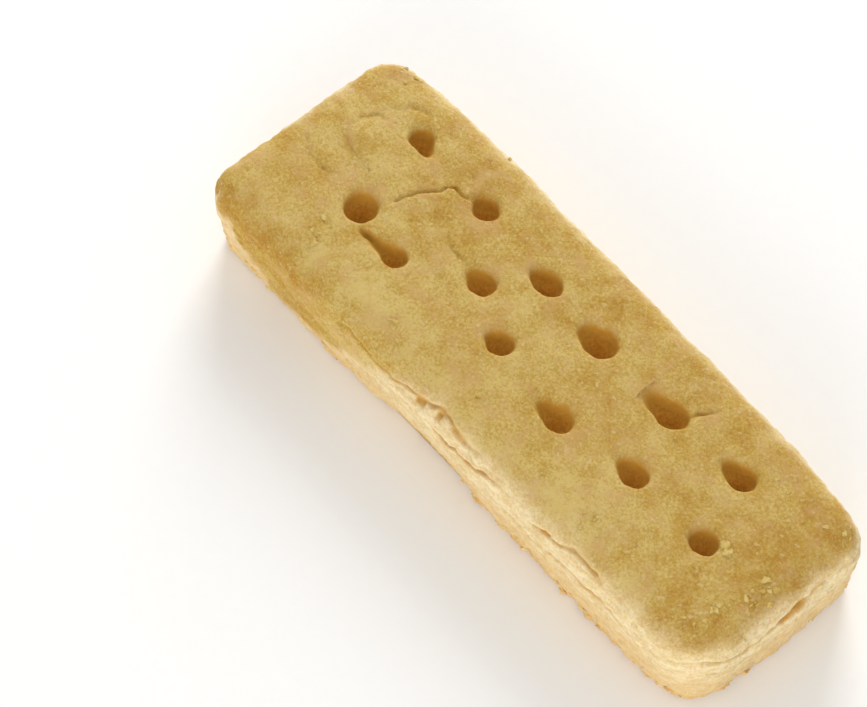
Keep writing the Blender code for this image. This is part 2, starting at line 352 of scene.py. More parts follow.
def grid_quads(ids):
    """Four-sided faces of a grid of point numbers, facing up where the grid runs along X and Y."""
    return np.stack([ids[:-1, :-1], ids[1:, :-1], ids[1:, 1:], ids[:-1, 1:]], axis=-1).reshape(-1, 4)


def polyline_distance(x, y, points):
    """Distance from each place to a line of points, which side it lies on, and share along."""
    nearest = np.full(x.shape, np.inf)
    side = np.zeros(x.shape)
    share = np.zeros(x.shape)
    for index, (start, end) in enumerate(zip(points[:-1], points[1:])):
        start, end = np.array(start) * MM, np.array(end) * MM
        run = end - start
        along = ((x - start[0]) * run[0] + (y - start[1]) * run[1]) / (run @ run)
        held = np.clip(along, 0, 1)
        gap_x, gap_y = x - start[0] - held * run[0], y - start[1] - held * run[1]
        gap = np.hypot(gap_x, gap_y)
        closer = gap < nearest
        nearest = np.where(closer, gap, nearest)
        side = np.where(closer, np.sign(run[0] * gap_y - run[1] * gap_x), side)
        share = np.where(closer, (index + held) / (len(points) - 1), share)
    return nearest, side, share


def draw_into_holes(x, y):
    """Draw patches of the top down into the docking holes.

    Each patch is a disc round a hole. Shares of its radius become the tip, which is a quarter
    ellipse, a straight tapered wall, a rim that is a quarter circle and rounder on the side the
    prick slants in from, and the level top. The mouth is an ellipse with a tail that is a high
    power of the cosine and closes with depth. Returns the new places, and the depth.
    """
    depth = np.zeros_like(x)
    wobble = noise(np.stack([x, y, 0 * x], axis=-1), 1.5 * MM, SEED + 40)
    for place_x, place_y, radius, stretch, turn, tail in HOLES:
        away_x, away_y = x - place_x * MM, y - place_y * MM
        reach = np.hypot(away_x, away_y)
        chosen = reach < HOLE_REACH
        share = reach[chosen] / HOLE_REACH
        bounds = (0, *SHARES, 1)
        tip, wall, rim, level = (np.clip((share - low) / (high - low), 0, 1)
                                 for low, high in zip(bounds[:-1], bounds[1:]))
        angle = np.arctan2(away_y[chosen], away_x[chosen])
        facing = angle - radians(turn)
        oval = stretch / np.hypot(np.cos(facing), stretch * np.sin(facing))
        rounding = RIM_ROUND + RIM_UNEVEN * np.cos(angle - radians(SLANT_FROM))
        tip_depth = 0.7 * radius * MM
        deepest = HOLE_DEPTH * radius * stretch * MM
        down = deepest - tip_depth * (1 - np.cos(tip * pi / 2)) - rounding * np.sin(rim * pi / 2)
        down -= (deepest - tip_depth - rounding) * wall
        spread = HOLE_TAPER * np.sin(tip * pi / 2) + (1 - HOLE_TAPER) * wall
        spread = spread * radius * MM + rounding * (1 - np.cos(rim * pi / 2))
        drag = tail * np.maximum(-np.cos(facing), 0) ** TAIL_POWER * np.exp(-down / TAIL_FADE)
        spread = np.minimum(spread * oval * (1 + drag + 0.09 * wobble[chosen]), 0.95 * HOLE_REACH)
        spread = spread + (HOLE_REACH - spread) * level
        slant = SLANT * np.maximum(down - RIM_ROUND, 0)
        x[chosen] = place_x * MM + spread * np.cos(angle) - slant * cos(radians(SLANT_FROM))
        y[chosen] = place_y * MM + spread * np.sin(angle) - slant * sin(radians(SLANT_FROM))
        depth[chosen] = np.maximum(depth[chosen], down)
    return x, y, depth


def crease_relief(x, y):
    """Height change from creases, pits and swellings.

    A crease is a rounded groove that may have one side standing up, a pit is a small bell and a
    swelling a wide one with a flattened head. Returns the height change, and the grooves' own depth.
    """
    groove = np.zeros_like(x)
    lift = np.zeros_like(x)
    wander = noise(np.stack([x, y, 0 * x], axis=-1), 0.9 * MM, SEED + 21) * CREASE_WANDER
    for points, width, deep, raised in CREASES:
        gap, side, share = polyline_distance(x + wander, y - wander, points)
        taper = np.sin(pi * (0.14 + 0.76 * share))
        groove = np.maximum(groove, deep * MM * taper * np.exp(-(gap / (width * MM)) ** 2))
        stands = np.exp(-gap / BROW_FALL) * smooth(0, BROW_RISE, gap) * taper
        lift += abs(raised) * MM * np.where(side * raised > 0, stands, 0)
    for place_x, place_y, long, wide, rise in SWELLINGS:
        away = ((x / MM - place_x) / long) ** 2 + ((y / MM - place_y) / wide) ** 2
        lift += rise * MM * np.exp(-away ** 1.5)
    for place_x, place_y, deep in PITS:
        gap = np.hypot(x - place_x * MM, (y - place_y * MM) * 1.5)
        groove = np.maximum(groove, deep * MM * np.exp(-(gap / PIT_RADIUS) ** 2))
    return lift - groove, groove


def crack_relief(around, z):
    """Relief of the cracks round the side, and the painted shade at each place in them.

    A crack is a rounded groove along a line of points. It opens and closes along its length and
    tapers off at both ends, and the dough on one side of it stands out and falls back exponentially.
    """
    groove = np.zeros_like(z)
    lip = np.zeros_like(z)
    crack_shade = np.zeros_like(z)
    flat = np.stack([around, z, 0 * z], axis=-1)
    wander = sum(noise(flat, size * MM, SEED + seed) * width * MM for size, width, seed in CRACK_WANDER)
    open_wide = 0.94 + 0.34 * noise(flat * (1, 0.3, 1), 2.6 * MM, SEED + 25)
    for points, width, deep, stands in CRACKS:
        near = (around > (points[0][0] - 3) * MM) & (around < (points[-1][0] + 3) * MM)
        gap, side, share = polyline_distance(around[near], (z + wander)[near], points)
        taper = np.clip(4 * share + 0.1, 0, 1) * np.clip(4 * (1 - share) + 0.1, 0, 1)
        taper = taper * open_wide[near]
        cut = taper * np.exp(-(gap / (width * MM)) ** 2)
        groove[near] = np.maximum(groove[near], deep * MM * cut)
        # painted shade in the crack, a little wider than its groove and fuller the deeper it is
        shade_band = taper * np.exp(-(gap / (SHADE_WIDTH * width * MM)) ** 2)
        crack_shade[near] = np.maximum(crack_shade[near], min(deep / FULL_SHADE, 1.0) * shade_band)
        ledge = np.exp(-gap / LEDGE_FALL) * smooth(0, LEDGE_RISE, gap)
        ledge = np.where(side * stands > 0, ledge, 0)
        lip[near] += abs(stands) * MM * ledge * taper
    return lip - groove, crack_shade


def crown_height(x, y):
    """Rise of the top towards its middle: a parabola each way."""
    return CROWN * (1 - (2 * x / LENGTH) ** 2) * (1 - (2 * y / WIDTH) ** 2)


def finger_shape():
    """Points and faces of the smooth bar with its holes and creases, and maps of depth, height and
    distance round the bar at each point."""
    along, across = lattice_lines(CELLS_ALONG), lattice_lines(CELLS_ACROSS)
    heights, insets = side_profile()
    count_x, count_y = len(along[0]), len(across[0])
    wide = [line[:, None] * np.ones((1, count_y)) for line in along]
    deep = [line[None, :] * np.ones((count_x, 1)) for line in across]

    x, y = plan_place(wide, deep, TOP_EDGE)
    edge = border(np.arange(count_x * count_y).reshape(count_x, count_y))
    x, y, depth = draw_into_holes(x, y)
    relief, groove = crease_relief(x, y)
    mouth = np.exp(-depth / (0.8 * MM))
    z = heights[-1] + crown_height(x, y) + relief * mouth - depth
    top = np.stack([x, y, z], axis=-1).reshape(-1, 3)

    loop = [border(grid) for grid in (*wide, *deep)]
    rim_x, rim_y = plan_place(loop[:2], loop[2:], 0.0)
    steps = np.hypot(np.diff(rim_x, append=rim_x[0]), np.diff(rim_y, append=rim_y[0]))
    around = np.concatenate([[0], np.cumsum(steps)[:-1]])
    ring_x, ring_y = plan_place([line[None, :] for line in loop[:2]],
                                [line[None, :] for line in loop[2:]], insets[:-1, None])
    ring_z = heights[:-1, None] + crown_height(ring_x, ring_y) * heights[:-1, None] / THICKNESS
    ring = np.stack([ring_x, ring_y, ring_z], axis=-1).reshape(-1, 3)

    base_x, base_y = plan_place([line[::BASE_COARSE, None] for line in along],
                                [line[None, ::BASE_COARSE] for line in across],
                                insets[0] + UNDERSIDE_STEP)
    base = np.stack([base_x, base_y, 0 * base_x], axis=-1).reshape(-1, 3)

    rows = len(heights) - 1
    ids = np.arange(count_x * count_y).reshape(count_x, count_y)
    ring_ids = len(top) + np.arange(rows * len(edge)).reshape(rows, -1)
    base_ids = len(top) + len(ring) + np.arange(len(base)).reshape(base_x.shape)
    wall = np.vstack([ring_ids, edge[None]])
    wall = np.hstack([wall, wall[:, :1]]).T
    inner = border(base_ids)
    outer = [np.roll(ring_ids[0], -k)[::BASE_COARSE] for k in range(BASE_COARSE, -1, -1)]
    strip = np.stack([inner, np.roll(inner, -1), *outer], axis=-1)
    faces = [np.vstack([grid_quads(ids), grid_quads(wall), grid_quads(base_ids)[:, ::-1]]), strip]

    points = np.vstack([top, ring, base])
    maps = {
        "depth": np.concatenate([depth.ravel(), np.zeros(len(ring) + len(base))]),
        "groove": np.concatenate([(groove * mouth).ravel(), np.zeros(len(ring) + len(base))]),
        "around": np.concatenate([np.full(len(top), -1.0), np.tile(around, rows),
                                  np.full(len(base), -1.0)]),
    }
    maps["around"][edge] = around
    return points, faces, maps


def point_normals(points, faces):
    """Unit normals at the points: the sum of the faces' cross products of their diagonals."""
    total = np.zeros_like(points)
    for group in faces:
        corners = points[group]
        normal = np.cross(corners[:, 2] - corners[:, 0], corners[:, -1] - corners[:, 1])
        for column in range(group.shape[1]):
            for axis in range(3):
                total[:, axis] += np.bincount(group[:, column], normal[:, axis], len(points))
    return total / np.maximum(np.linalg.norm(total, axis=1, keepdims=True), 1e-12)


def pale_dough(points, around, on_side):
    """Share of open, pale dough: all of the side below the ragged line where the crust ends."""
    line = np.array(CRUST_LINE).T * MM
    strayed = around + CRUST_STRAY * fractal(points, 4.5 * MM, 3, SEED + 35)
    ends = np.interp(strayed, line[0], line[1], period=around.max() + 0.2 * MM)
    ends = ends + CRUST_RAGGED * noise(points * (1, 1, 0), 3.0 * MM, SEED + 1)
    return smooth(0.5 * MM, -1.8 * MM, points[:, 2] - ends) * on_side


def broken_side(points, around, upright, on_side):
    """Relief of the side's cracks, layers, pores and grit, and the painted shade in its cracks and pores.

    The layers are noise that is drawn out along the bar and thin in height. The pores are where
    another noise is highest.
    """
    layers = fractal(points, np.array(LAYER_SIZE) * MM, 3, SEED + 5)
    pores = smooth(0.45, 0.75, noise(points, np.array(PORE_SIZE) * MM, SEED + 13))
    grit = noise(points, 0.8 * MM, SEED + 8)
    cracks, crack_shade = crack_relief(around, points[:, 2])
    relief = np.where(on_side, cracks, 0)
    relief += upright * (LAYER_HEIGHT * layers - PORE_DEPTH * pores + GRIT_HEIGHT * grit)
    # painted shade in the cracks, and a little in the pores
    return relief, np.where(on_side, np.maximum(crack_shade, 0.3 * pores * upright), 0)


def ragged_foot(points, around, on_side):
    """Relief of the foot of the side, ragged and hollow in one place, and how much of the foot's colour the
    side takes.

    That share grows evenly towards the foot, and in a ragged fringe along the toasted stretch.
    """
    z = points[:, 2]
    foot = smooth(2.0 * MM, 0.2 * MM, z) * on_side
    starts, full, fades, ends = (mark * MM for mark in TOASTED)
    toasted = 0.35 + 0.65 * smooth(starts, full, around) * smooth(ends, fades, around)
    ragged = noise(points * (1, 1, 0.4), 2.4 * MM, SEED + 17) + 0.6 * noise(points, 1.1 * MM, SEED + 18)
    place, half_width, deep = FOOT_HOLLOW
    hollow = np.exp(-((around - place) / half_width) ** 4) * smooth(5.0 * MM, 0.8 * MM, z)
    relief = FOOT_RAGGED * foot * ragged * toasted - deep * hollow * on_side
    fringe = foot * toasted * np.clip(0.7 + ragged, 0, 1)
    return relief, on_side * (0.45 * smooth(9.0 * MM, 3.0 * MM, z) + 0.55 * fringe)


def baking(points):
    """How baked the crust is, from 0 to 1.

    It is baked more at the edges, at the narrower end, at the corner at -X and -Y, where this is
    partly a painted shadow, and in broad patches, and less on the ragged shoulders of the side at -Y
    and of the narrower end.
    """
    x, y, _ = points.T
    edge = smooth(8.0 * MM, 12.5 * MM, abs(y)) * 0.6 + smooth(29 * MM, 37 * MM, abs(x))
    patches = fractal(points, 8.0 * MM, 2, SEED + 30)
    bake_and_shadow = 0.40 + 0.16 * edge + 0.16 * smooth(22 * MM, 34 * MM, x) + 0.32 * patches
    bake_and_shadow -= 0.16 * smooth(-6.0 * MM, -9.5 * MM, y) * smooth(24 * MM, 16 * MM, x)
    ragged_y = y + SHOULDER_RAGGED * fractal(points, 4.0 * MM, 2, SEED + 33)
    ragged_x = x - SHOULDER_RAGGED * fractal(points, 4.0 * MM, 2, SEED + 34)
    side_shoulder = smooth(-8.6 * MM, -11.2 * MM, ragged_y) * smooth(-16 * MM, -8 * MM, x)
    end_shoulder = smooth(33.2 * MM, 36.0 * MM, ragged_x)
    bake_and_shadow -= 0.18 * np.maximum(side_shoulder, end_shoulder)
    bake_and_shadow += 0.14 * smooth(5 * MM, 10 * MM, ragged_y)
    # partly golden crust, partly a painted shadow along the side at -Y towards -X
    bake_and_shadow += 0.50 * smooth(-14 * MM, -24 * MM, x) * smooth(-11.0 * MM, -12.8 * MM, y)
    return np.clip(bake_and_shadow, 0, 1)


def roughen(points, normals, maps):
    """Displace the smooth bar along its normals, and work out the maps that colour it.

    Long swellings and a fine sandy grain lie all over, less in the holes, and the underside stays
    flat.
    """
    z = points[:, 2]
    on_side = maps["around"] >= 0
    around = np.where(on_side, maps["around"], 0)
    upright = smooth(0.85, 0.35, normals[:, 2]) * on_side
    side, crevice_shade = broken_side(points, around, upright, on_side)
    foot, browned = ragged_foot(points, around, on_side)

    grain = sum(height * MM * fractal(points, size * MM, octaves, SEED + seed)
                for size, height, octaves, seed in GRAIN)
    relief = grain + side + foot
    underside = (normals[:, 2] < -0.5) & ~on_side
    relief = np.where(underside | (z < 0.02 * MM), 0, relief)
    relief *= 1 - 0.4 * smooth(0.4 * MM, 1.5 * MM, maps["depth"])
    moved = points + normals * relief[:, None]
    moved[:, 2] = np.maximum(moved[:, 2], 0)

    colour = {
        "bake_and_shadow": baking(points),
        "open_dough": pale_dough(points, around, on_side),
        # painted shade and amber bounce light near the top of the holes and along the creases
        "rim": smooth(0.15 * MM, 0.9 * MM, maps["depth"] + 1.2 * maps["groove"]),
        # pale inner dough deep in the holes, brightened by a painted glow of bounced light
        "shaft": smooth(0.8 * MM, 2.6 * MM, maps["depth"]),
        # painted shade in the side's cracks and pores
        "crevice_shade": crevice_shade,
        "foot": browned,
    }
    return moved, colour


def mesh_object(name, points, faces, maps, material, smooth_faces=True):
    """A mesh object of groups of like-sided faces, with float maps at its points."""
    mesh = bpy.data.meshes.new(name)
    sizes = np.concatenate([np.full(len(group), group.shape[1]) for group in faces])
    corners = np.concatenate([group.ravel() for group in faces])
    mesh.vertices.add(len(points))
    mesh.vertices.foreach_set("co", points.astype(np.float32).ravel())
    mesh.loops.add(len(corners))
    mesh.loops.foreach_set("vertex_index", corners.astype(np.int32))
    mesh.polygons.add(len(sizes))
    mesh.polygons.foreach_set("loop_start", np.concatenate([[0], np.cumsum(sizes)[:-1]]).astype(np.int32))
    mesh.polygons.foreach_set("use_smooth", np.full(len(sizes), smooth_faces))
    mesh.update(calc_edges=True)
    mesh.validate()
    for label, values in maps.items():
        layer = mesh.attributes.new(label, "FLOAT", "POINT")
        layer.data.foreach_set("value", values.astype(np.float32))
    mesh.materials.append(material)
    piece = bpy.data.objects.new(name, mesh)
    bpy.context.scene.collection.objects.link(piece)
    return piece


def add_node(tree, kind, settings=None, links=None):
    """Add a node. Settings are its own fields or the values of its inputs; links feed inputs."""
    node = tree.nodes.new(kind)
    for key, value in (settings or {}).items():
        if isinstance(key, str) and hasattr(node, key):
            setattr(node, key, value)
        else:
            node.inputs[key].default_value = value
    for key, source in (links or {}).items():
        tree.links.new(source, node.inputs[key])
    return node


def blend_colour(tree, share, first, second):
    """Mix two colours, each a socket or a linear triple, by a share."""
    node = add_node(tree, "ShaderNodeMix", {"data_type": "RGBA"}, {0: share})
    for slot, value in ((6, first), (7, second)):
        if isinstance(value, bpy.types.NodeSocket):
            tree.links.new(value, node.inputs[slot])
        else:
            node.inputs[slot].default_value = (*value, 1)
    return node.outputs[2]


def remap(tree, value, low, high, out_low=0.0, out_high=1.0):
    """Stretch a range of a value to another, smoothly and clamped."""
    node = add_node(tree, "ShaderNodeMapRange", {
        "interpolation_type": "SMOOTHSTEP", "From Min": low, "From Max": high,
        "To Min": out_low, "To Max": out_high}, {"Value": value})
    return node.outputs["Result"]


def sum_of(tree, first, second, operation="ADD"):
    """Add, or otherwise combine, two values, each a socket or a number."""
    node = add_node(tree, "ShaderNodeMath", {"operation": operation})
    for slot, value in enumerate((first, second)):
        if isinstance(value, bpy.types.NodeSocket):
            tree.links.new(value, node.inputs[slot])
        else:
            node.inputs[slot].default_value = value
    return node.outputs[0]


def pattern(tree, place, size, detail=2.0, roughness=0.5):
    """Fractal noise whose largest features are as wide as the size, in metres."""
    node = add_node(tree, "ShaderNodeTexNoise", {
        "Scale": 1 / size, "Detail": detail, "Roughness": roughness}, {"Vector": place})
    return node.outputs["Fac"]


def shortbread_material(colours):
    """Baked butter dough: matt and sandy, golden on its crust, cream where its layers break open,
    with pale and dark grains, painted amber where light bounces about in its pricks, and painted shade in
    its cracks, creases and pores."""
    material = bpy.data.materials.new("baked_shortbread")
    material.use_nodes = True
    tree = material.node_tree
    shader = tree.nodes["Principled BSDF"]
    place = add_node(tree, "ShaderNodeTexCoord").outputs["Object"]
    maps = {label: add_node(tree, "ShaderNodeAttribute", {"attribute_name": label}).outputs["Fac"]
            for label in ("bake_and_shadow", "open_dough", "rim", "shaft", "crevice_shade", "foot")}

    mottle = remap(tree, pattern(tree, place, MOTTLE, 4.0, 0.6), 0.25, 0.75, -0.36, 0.36)
    sandy = pattern(tree, place, SAND, 3.0, 0.8)
    # how baked each place looks, with the painted shadow along the side at -Y towards -X
    baked = sum_of(tree, sum_of(tree, maps["bake_and_shadow"], mottle), remap(tree, sandy, 0.2, 0.8, -0.60, 0.60))
    crust = blend_colour(tree, remap(tree, baked, -0.10, 0.75), colours.pale, colours.gold)
    crust = blend_colour(tree, remap(tree, baked, 0.60, 1.30), crust, colours.amber)
    blush = remap(tree, pattern(tree, place, BLUSH, 5.0, 0.75), 0.45, 0.68, 0.0, 0.75)
    crust = blend_colour(tree, blush, crust, colours.blush)
    flecks = remap(tree, pattern(tree, place, FLECK, 2.0), 0.60, 0.72, 0.0, 0.60)
    crust = blend_colour(tree, flecks, crust, colours.grain)

    drawn_out = add_node(tree, "ShaderNodeMapping", {"Scale": (0.4, 0.4, 1.0)}, {"Vector": place})
    streak = pattern(tree, drawn_out.outputs[0], STREAK, 3.0, 0.6)
    grainy = sum_of(tree, sum_of(tree, streak, sandy), 0.5, "MULTIPLY")
    dough = blend_colour(tree, remap(tree, grainy, 0.36, 0.64), colours.cream, colours.layer)
    dough = blend_colour(tree, remap(tree, maps["foot"], 0.0, 1.0, 0.0, 0.95), dough, colours.foot)

    colour = blend_colour(tree, maps["open_dough"], crust, dough)
    # painted shade in the cracks and pores
    colour = blend_colour(tree, remap(tree, maps["crevice_shade"], 0.1, 0.9, 0.0, 0.9), colour, colours.crevice_shade)
    # painted shade and amber bounce light at the tops of the holes and in the creases
    colour = blend_colour(tree, maps["rim"], colour, colours.crevice_shade)
    # inside the holes: pale inner dough with a painted glow, mottled with painted shade
    inside = blend_colour(tree, remap(tree, sandy, 0.3, 0.8), colours.prick, colours.crevice_shade)
    colour = blend_colour(tree, maps["shaft"], colour, inside)
    tree.links.new(colour, shader.inputs["Base Color"])

    grit = pattern(tree, place, GRIT, 4.0, 0.8)
    crumb = add_node(tree, "ShaderNodeTexVoronoi", {"Scale": 1 / CRUMB_CELL}, {"Vector": place})
    height = sum_of(tree, grit, sum_of(tree, crumb.outputs["Distance"], -0.3, "MULTIPLY"))
    layered = sum_of(tree, sum_of(tree, streak, maps["open_dough"], "MULTIPLY"), 0.3, "MULTIPLY")
    bump = add_node(tree, "ShaderNodeBump", {"Strength": 1.0, "Distance": 0.28 * MM},
                    {"Height": sum_of(tree, height, layered)})
    tree.links.new(bump.outputs[0], shader.inputs["Normal"])
    shader.inputs["Roughness"].default_value = 0.75
    shader.inputs["IOR"].default_value = 1.45
    shader.inputs["Specular IOR Level"].default_value = 0.2
    shader.inputs["Sheen Weight"].default_value = 0.10
    shader.inputs["Sheen Roughness"].default_value = 0.4
    shader.inputs["Sheen Tint"].default_value = (*colours.pale, 1)
    shader.inputs["Subsurface Weight"].default_value = 0.45
    shader.inputs["Subsurface Radius"].default_value = (1.0, 0.65, 0.30)
    shader.inputs["Subsurface Scale"].default_value = 1.0 * MM
    return material


def crumb_material(name, first, second):
    """Loose crumbs of butter dough: a little paler and rougher than the crust they fell on."""
    material = bpy.data.materials.new(name)
    material.use_nodes = True
    tree = material.node_tree
    shader = tree.nodes["Principled BSDF"]
    place = add_node(tree, "ShaderNodeTexCoord").outputs["Object"]
    tint = pattern(tree, place, CRUMB_CELL, 2.0)
    colour = blend_colour(tree, remap(tree, tint, 0.35, 0.65), first, second)
    tree.links.new(colour, shader.inputs["Base Color"])
    sand = pattern(tree, place, 0.2 * MM, 3.0)
    bump = add_node(tree, "ShaderNodeBump", {"Strength": 0.6, "Distance": 0.06 * MM}, {"Height": sand})
    tree.links.new(bump.outputs[0], shader.inputs["Normal"])
    shader.inputs["Roughness"].default_value = 0.8
    shader.inputs["Specular IOR Level"].default_value = 0.3
    return material


def floor_material(tone):
    """Matt white studio paper: a flat white with a faint tooth that keeps it from glaring."""
    material = bpy.data.materials.new("studio_paper")
    material.use_nodes = True
    tree = material.node_tree
    shader = tree.nodes["Principled BSDF"]
    place = add_node(tree, "ShaderNodeTexCoord").outputs["Object"]
    tooth = pattern(tree, place, PAPER_TOOTH, 2.0)
    paper = blend_colour(tree, tooth, [0.97 * c for c in tone], tone)
    tree.links.new(paper, shader.inputs["Base Color"])
    shader.inputs["Roughness"].default_value = 0.9
    return material


def lump_faces(rows, columns):
    """Faces of a ball of rows between two poles: caps of triangles and quads between."""
    ids = 1 + np.arange(rows * columns).reshape(rows, columns)
    ring = np.hstack([ids, ids[:, :1]])
    quads = np.stack([ring[:-1, :-1], ring[:-1, 1:], ring[1:, 1:], ring[1:, :-1]], axis=-1)
    south = np.stack([np.zeros(columns, int), ring[0, 1:], ring[0, :-1]], axis=-1)
    north = np.stack([np.full(columns, rows * columns + 1), ring[-1, :-1], ring[-1, 1:]], axis=-1)
    return quads.reshape(-1, 4), np.vstack([south, north])


def lumps(places, outward, tangent, sizes, seed):
    """Rough lumps on a surface as one mesh: balls squeezed to three sizes each, along the surface,
    across it and out of it, whose radius is varied by noise."""
    rows, columns = 4, 8
    tilt = np.repeat(np.linspace(-pi / 2, pi / 2, rows + 2)[1:-1], columns)
    turn = np.tile(np.arange(columns) * 2 * pi / columns, rows)
    ball = np.stack([np.cos(tilt) * np.cos(turn), np.cos(tilt) * np.sin(turn), np.sin(tilt)], axis=-1)
    ball = np.vstack([[0, 0, -1], ball, [0, 0, 1]])
    count = len(places)
    shift = np.arange(count)[:, None, None] * 7.31
    radius = np.maximum(1 + 0.85 * noise(ball[None] * 1.7 + shift, 1.0, seed), 0.35)
    shape = ball[None] * radius[..., None] * sizes[:, None, :]
    across = np.cross(outward, tangent)
    points = places[:, None] + shape[..., :1] * tangent[:, None] + shape[..., 1:2] * across[:, None]
    points = points + shape[..., 2:] * outward[:, None]
    offset = np.arange(count)[:, None, None] * len(ball)
    faces = [(group[None] + offset).reshape(-1, group.shape[1]) for group in lump_faces(rows, columns)]
    return points.reshape(-1, 3), faces


def surface_spots(chance, count, rng):
    """Choose points of the finger's mesh by chance, with their normals and level tangents."""
    mesh = bpy.data.objects["finger"].data
    points = np.empty(len(mesh.vertices) * 3, dtype=np.float32)
    normals = np.empty(len(mesh.vertices) * 3, dtype=np.float32)
    mesh.vertices.foreach_get("co", points)
    mesh.vertices.foreach_get("normal", normals)
    points, normals = points.reshape(-1, 3).astype(float), normals.reshape(-1, 3).astype(float)
    weight = chance(points, normals)
    chosen = rng.choice(len(points), count, replace=False, p=weight / weight.sum())
    places, outward = points[chosen], normals[chosen]
    tangent = np.cross(outward, (0.02, 0.01, 1.0))
    tangent /= np.maximum(np.linalg.norm(tangent, axis=1, keepdims=True), 1e-9)
    return places, outward, tangent


def place_piece(piece):
    """Let a piece ride on the finger's body."""
    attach(piece, BODY)


def colour_setting(name, about, code):
    """A colour setting, from its hex code."""
    return FloatVectorProperty(name=name, description=about, subtype="COLOR", default=linear(code))


class ShortbreadColours(bpy.types.PropertyGroup):
    """Colours of the baked dough."""
    pale: colour_setting("Pale crust", "Least baked crust", "#d7bd74")
    gold: colour_setting("Golden crust", "Evenly baked crust", "#c4a04b")
    amber: colour_setting("Browned crust", "Browned edges and patches", "#b78736")
    blush: colour_setting("Blush", "Faintly rosy grains of the crust", "#cfa86c")
    grain: colour_setting("Grains", "Pale grains in the crust", "#dcc48c")
    cream: colour_setting("Open dough", "Pale layers in the side", "#f4e1b6")
    layer: colour_setting("Layer edges", "Darker streaks between layers", "#dec086")
    # painted shade and amber bounce light for the cracks, pores, creases and holes
    crevice_shade: colour_setting("Crevices", "Inside of the cracks and pores", "#cc9636")
    foot: colour_setting("Foot", "Browned foot of the side", "#dcae66")
    # pale inner dough, brightened by a painted glow of bounced light
    prick: colour_setting("Holes", "Inside of the docking holes", "#f5c45a")


class ShortbreadCrumbs(bpy.types.PropertyGroup):
    """Numbers and sizes of the loose bits."""
    crumbs: IntProperty(name="Crumbs", description="Loose crumbs on the finger", default=130, min=1)
    bits: IntProperty(name="Bits", description="Bits that stand out of the foot of the side",
                      default=150, min=1)
    crumb_size: FloatProperty(name="Crumb size", description="Half width of a common crumb",
                              default=0.14 * MM, unit="LENGTH", precision=5)
    bit_size: FloatProperty(name="Bit size", description="Half width of a common bit",
                            default=0.26 * MM, unit="LENGTH", precision=5)


class StudioSettings(bpy.types.PropertyGroup):
    """The studio round the finger."""
    azimuth: FloatProperty(name="Azimuth", description="Camera's turn from looking along +Y",
                           subtype="ANGLE", default=radians(49.96))
    elevation: FloatProperty(name="Elevation", description="Camera's height above the horizon",
                             subtype="ANGLE", default=radians(60.54))
    distance: FloatProperty(name="Distance", description="From the camera to where it aims",
                            unit="LENGTH", default=427.9 * MM)
    aim: FloatVectorProperty(name="Aim", description="Where the camera looks",
                             subtype="TRANSLATION", default=(-8.48 * MM, -6.65 * MM, 6.25 * MM))
    lens: FloatProperty(name="Lens", description="Focal length in millimetres",
                        default=174.4)
    fill: FloatProperty(name="Fill", description="Strength of the light from all round",
                        default=0.64)
    paper: colour_setting("Paper", "Colour of the floor", "#fdfcfa")


class SHORTBREAD_OT_finger(bpy.types.Operator):
    """Build the baked finger in place of the plain solid"""
    bl_idname = "shortbread.finger"
    bl_label = "Finger"

    def execute(self, context):
        points, faces, maps = finger_shape()
        normals = point_normals(points, faces)
        points, colour = roughen(points, normals, maps)
        material = shortbread_material(context.scene.shortbread_colours)
        finger = mesh_object("finger", points, faces, colour, material)
        place_piece(finger)
        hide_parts(NODE)
        return {"FINISHED"}


class SHORTBREAD_OT_crumbs(bpy.types.Operator):
    """Scatter crumbs over the crust, most of them in small heaps at the narrower end"""
    bl_idname = "shortbread.crumbs"
    bl_label = "Crumbs"

    def execute(self, context):
        settings = context.scene.shortbread_crumbs
        rng = np.random.default_rng(SEED)

        def chance(points, normals):
            x, y, z = points.T
            level = smooth(0.5, 0.9, normals[:, 2]) * (z > THICKNESS - 2.6 * MM)
            heaps = sum(np.exp(-np.hypot(x - place_x * MM, y - place_y * MM) ** 2 / HEAP_RADIUS ** 2)
                        for place_x, place_y in CRUMB_PLACES)
            return level * (STRAY_CHANCE + heaps)

        places, outward, tangent = surface_spots(chance, settings.crumbs, rng)
        size = settings.crumb_size * np.minimum(rng.lognormal(0, 0.55, (len(places), 1)), 2.6)
        sizes = size * rng.uniform(0.6, 1.4, (len(places), 3)) * np.array((1.2, 1.0, 0.6))
        points, faces = lumps(places + outward * size * 0.05, outward, tangent, sizes, SEED + 50)
        colours = context.scene.shortbread_colours
        material = crumb_material("shortbread_crumb", colours.pale, colours.gold)
        crumbs = mesh_object("crumbs", points, faces, {}, material, smooth_faces=False)
        place_piece(crumbs)
        return {"FINISHED"}


